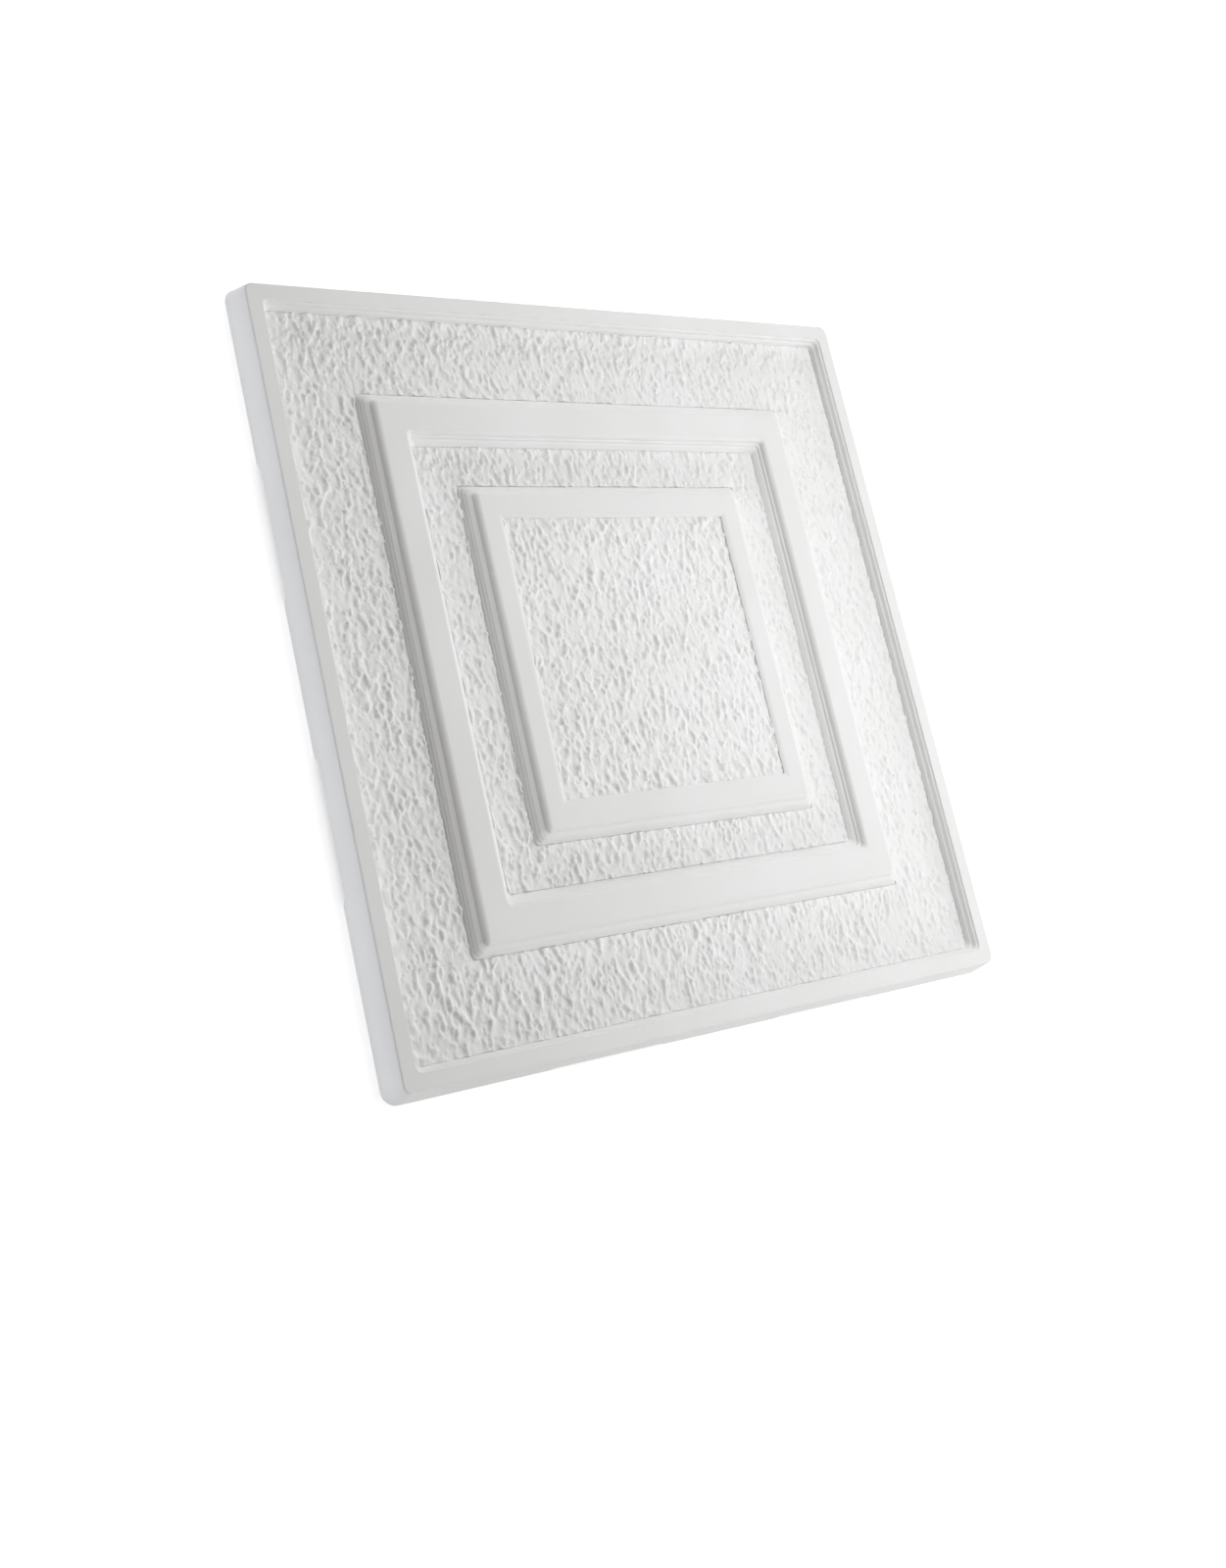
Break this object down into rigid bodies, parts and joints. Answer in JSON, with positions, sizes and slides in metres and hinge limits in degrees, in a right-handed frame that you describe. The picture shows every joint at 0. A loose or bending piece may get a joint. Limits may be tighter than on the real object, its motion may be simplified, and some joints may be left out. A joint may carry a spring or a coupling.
{
  "type": "ceiling tile",
  "caption": "Square cast plaster ceiling tile with a flat rim, raised stepped frames inside one another and stippled fields between them.",
  "frame": {"origin": "middle of the back, on the plane of the back's edge pads", "axes": "+Z out of the patterned face, X and Y along the sides"},
  "size_m": [0.595, 0.595, 0.023],
  "materials": {
    "plaster": "matte"
  },
  "bodies": {
    "root": {"ceiling_tile": "plaster"}
  },
  "joints": []
}
